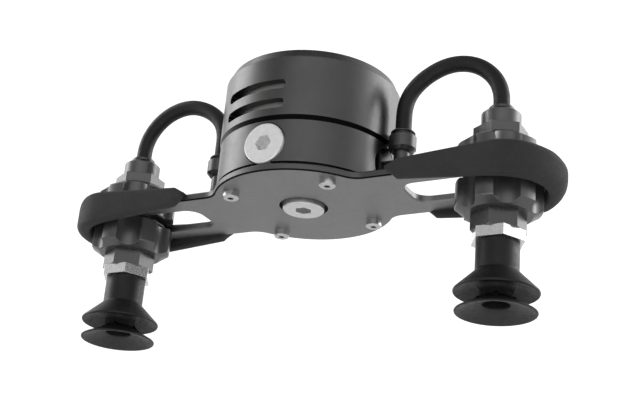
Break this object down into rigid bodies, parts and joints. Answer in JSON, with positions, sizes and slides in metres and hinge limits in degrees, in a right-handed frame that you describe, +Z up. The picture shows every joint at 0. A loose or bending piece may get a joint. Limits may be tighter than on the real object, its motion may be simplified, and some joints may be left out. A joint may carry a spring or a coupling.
{
  "type": "vacuum gripper",
  "caption": "Robot vacuum gripper: a round body on a flat bracket whose slotted arms each carry a bellows suction cup fed by an arched air tube, with a rubber bumper round each arm end.",
  "frame": {"origin": "centre of the top face, which meets the robot flange", "axes": "+Z up towards the robot; +X along the right arm; -Y towards the front plug"},
  "size_m": [0.2872, 0.1105, 0.1435],
  "materials": {
    "dark_anodised": "satin anodised",
    "dark_fitting": "satin",
    "nut_metal": "satin anodised",
    "plate_grey": "bead-blasted, anodised",
    "bright_steel": "fine turned",
    "brass": "turned",
    "black_plastic": "moulded",
    "bumper_rubber": "matt moulded",
    "cup_rubber": "satin moulded",
    "seal_rubber": "matt",
    "tube_black": "satin polyurethane",
    "felt": "sintered felt",
    "board_green": "solder mask"
  },
  "bodies": {
    "root": {"coupling_ring": "dark_anodised", "coupling_screws": "bright_steel", "upper_housing": "dark_anodised", "housing_gasket": "seal_rubber", "housing_screws": "bright_steel", "control_board": "board_green", "ejector_block": "dark_fitting", "ejector_nozzle": "brass", "silencer": "felt", "supply_valve": "black_plastic", "vacuum_sensor": "black_plastic", "signal_connector": "bright_steel", "manifold_block": "dark_anodised", "front_plug": "bright_steel", "front_plug_seal": "seal_rubber", "bottom_plug": "bright_steel", "bottom_plug_seal": "seal_rubber", "rear_inlet": "dark_fitting", "bracket_plate": "plate_grey", "bracket_screws": "bright_steel", "right_elbow_stud": "dark_fitting", "right_elbow_body": "dark_fitting", "right_bumper": "bumper_rubber", "right_tube": "tube_black", "left_elbow_stud": "dark_fitting", "left_elbow_body": "dark_fitting", "left_bumper": "bumper_rubber", "left_tube": "tube_black"},
    "right_holder": {"right_stem": "dark_fitting", "right_upper_nut": "nut_metal", "right_lower_nut": "nut_metal", "right_washers": "black_plastic", "right_push_socket": "nut_metal", "right_adapter": "nut_metal", "right_nipple": "bright_steel", "right_screen": "bright_steel", "right_cup_neck": "cup_rubber", "right_cup_fold": "cup_rubber"},
    "right_lip": {"right_cup_lip": "cup_rubber"},
    "right_release": {"right_push_sleeve": "nut_metal"},
    "right_elbow_release": {"right_elbow_sleeve": "black_plastic"},
    "left_holder": {"left_stem": "dark_fitting", "left_upper_nut": "nut_metal", "left_lower_nut": "nut_metal", "left_washers": "black_plastic", "left_push_socket": "nut_metal", "left_adapter": "nut_metal", "left_nipple": "bright_steel", "left_screen": "bright_steel", "left_cup_neck": "cup_rubber", "left_cup_fold": "cup_rubber"},
    "left_lip": {"left_cup_lip": "cup_rubber"},
    "left_release": {"left_push_sleeve": "nut_metal"},
    "left_elbow_release": {"left_elbow_sleeve": "black_plastic"},
    "rear_release": {"rear_sleeve": "black_plastic"},
    "plunger": {"supply_plunger": "bright_steel"}
  },
  "joints": [
    {"name": "right_holder_slide", "type": "slide", "parent": "root", "child": "right_holder", "axis": [-1, 0, 0], "range_m": [0, 0.024], "deforming": ["right_tube"]},
    {"name": "right_cup_compress", "type": "slide", "parent": "right_holder", "child": "right_lip", "axis": [0, 0, 1], "range_m": [0, 0.006], "stiffness_N_per_m": 1500, "deforming": ["right_cup_fold"]},
    {"name": "right_push_release", "type": "slide", "parent": "right_holder", "child": "right_release", "axis": [0, 0, -1], "range_m": [0, 0.001], "stiffness_N_per_m": 1200},
    {"name": "right_elbow_sleeve_release", "type": "slide", "parent": "root", "child": "right_elbow_release", "axis": [0, 0, -1], "range_m": [0, 0.001], "stiffness_N_per_m": 1200},
    {"name": "left_holder_slide", "type": "slide", "parent": "root", "child": "left_holder", "axis": [1, 0, 0], "range_m": [0, 0.024], "deforming": ["left_tube"]},
    {"name": "left_cup_compress", "type": "slide", "parent": "left_holder", "child": "left_lip", "axis": [0, 0, 1], "range_m": [0, 0.006], "stiffness_N_per_m": 1500, "deforming": ["left_cup_fold"]},
    {"name": "left_push_release", "type": "slide", "parent": "left_holder", "child": "left_release", "axis": [0, 0, -1], "range_m": [0, 0.001], "stiffness_N_per_m": 1200},
    {"name": "left_elbow_sleeve_release", "type": "slide", "parent": "root", "child": "left_elbow_release", "axis": [0, 0, -1], "range_m": [0, 0.001], "stiffness_N_per_m": 1200},
    {"name": "rear_sleeve_release", "type": "slide", "parent": "root", "child": "rear_release", "axis": [0, -1, 0], "range_m": [0, 0.001], "stiffness_N_per_m": 1200},
    {"name": "valve_plunger", "type": "slide", "parent": "root", "child": "plunger", "axis": [0, 0, 1], "range_m": [0, 0.003], "stiffness_N_per_m": 600}
  ]
}
